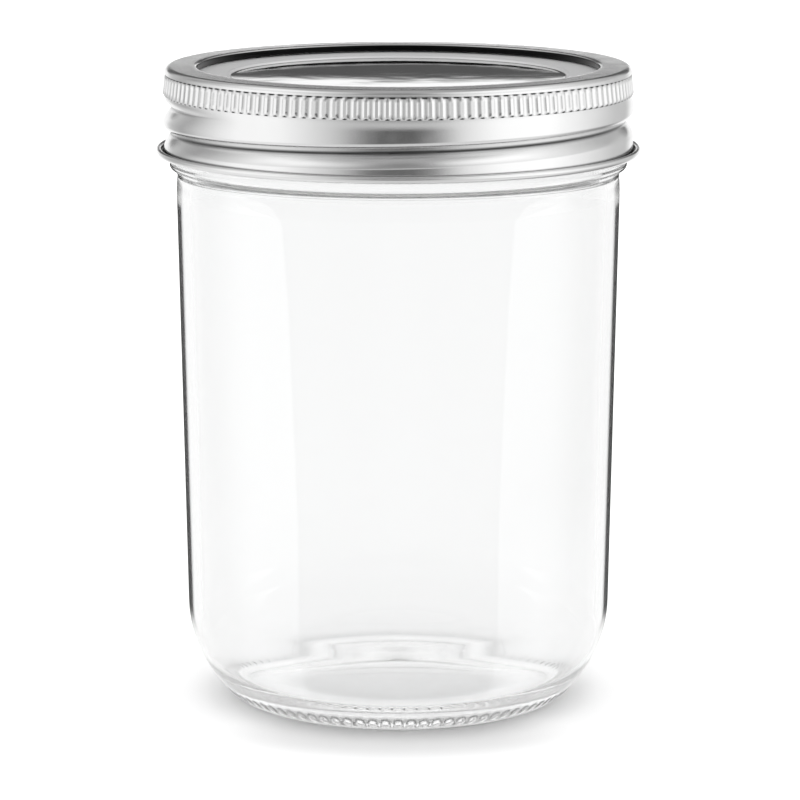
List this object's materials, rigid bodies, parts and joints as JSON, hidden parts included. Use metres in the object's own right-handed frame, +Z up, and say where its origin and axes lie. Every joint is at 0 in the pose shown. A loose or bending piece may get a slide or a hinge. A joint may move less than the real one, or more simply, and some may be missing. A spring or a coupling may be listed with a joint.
{
  "type": "glass jar with screw closure",
  "caption": "Clear glass jar with a rounded heel and wide mouth, closed by a flat metal lid and a knurled metal screw band; keeps a sourdough starter or other food.",
  "frame": {"origin": "middle of the ring that the jar stands on, on the table", "axes": "+Z up along the jar's axis; the front of the jar faces -Y"},
  "size_m": [0.0908, 0.0908, 0.1205],
  "materials": {
    "clear_glass": "clear, smooth, fire polished",
    "lid_steel": "silver-coloured tinplate, satin",
    "seal_compound": "soft matt sealing compound",
    "band_steel": "silver-coloured tinplate, satin, rolled and knurled"
  },
  "bodies": {
    "jar": {"jar": "clear_glass"},
    "lid": {"lid_disc": "lid_steel", "seal_ring": "seal_compound"},
    "band": {"screw_band": "band_steel"}
  },
  "joints": [
    {"name": "lid_lift", "type": "slide", "parent": "jar", "child": "lid", "axis": [0, 0, 1], "range_m": [0, 0.02042]},
    {"name": "band_turn", "type": "hinge", "parent": "lid", "child": "band", "pos_m": [0, 0, 0.11], "axis": [0, 0, 1], "range_deg": [0, 1440]}
  ],
  "couplings": [
    {"joint": "lid_lift", "follows": "band_turn", "m_per_rad": 0.00080851}
  ]
}
